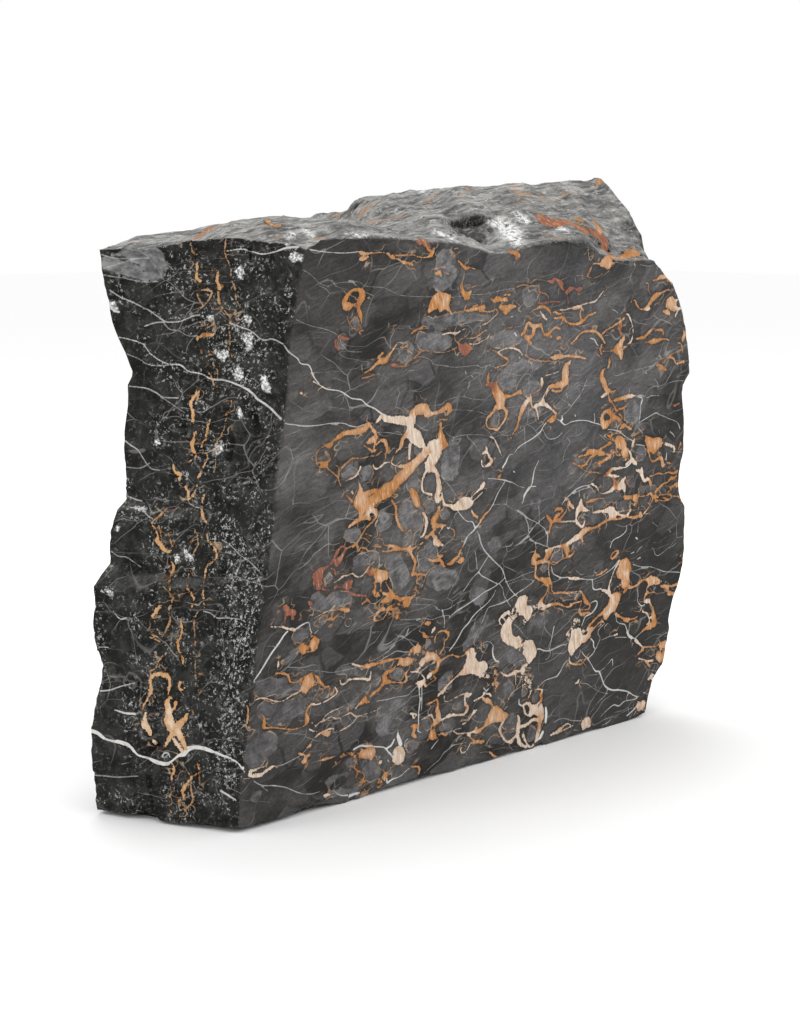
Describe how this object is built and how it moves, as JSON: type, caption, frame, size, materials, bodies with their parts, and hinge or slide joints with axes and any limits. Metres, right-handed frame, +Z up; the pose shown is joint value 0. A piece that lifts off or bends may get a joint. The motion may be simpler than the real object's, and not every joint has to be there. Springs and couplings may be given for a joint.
{
  "type": "marble block",
  "caption": "Rough upright block of dark marble with gold seams and white veins, sawn flat on the front and broken elsewhere, for display, paving or carving.",
  "frame": {"origin": "middle of the block's footprint, on the ground it stands on", "axes": "+Z up; +X to the right along the sawn face; the sawn face looks towards -Y"},
  "size_m": [0.7852, 0.2642, 0.6403],
  "materials": {
    "marble": "honed matte on the sawn face, rough and broken elsewhere; charcoal ground, gold seams, white calcite veins"
  },
  "bodies": {
    "root": {"marble_block": "marble"}
  },
  "joints": []
}
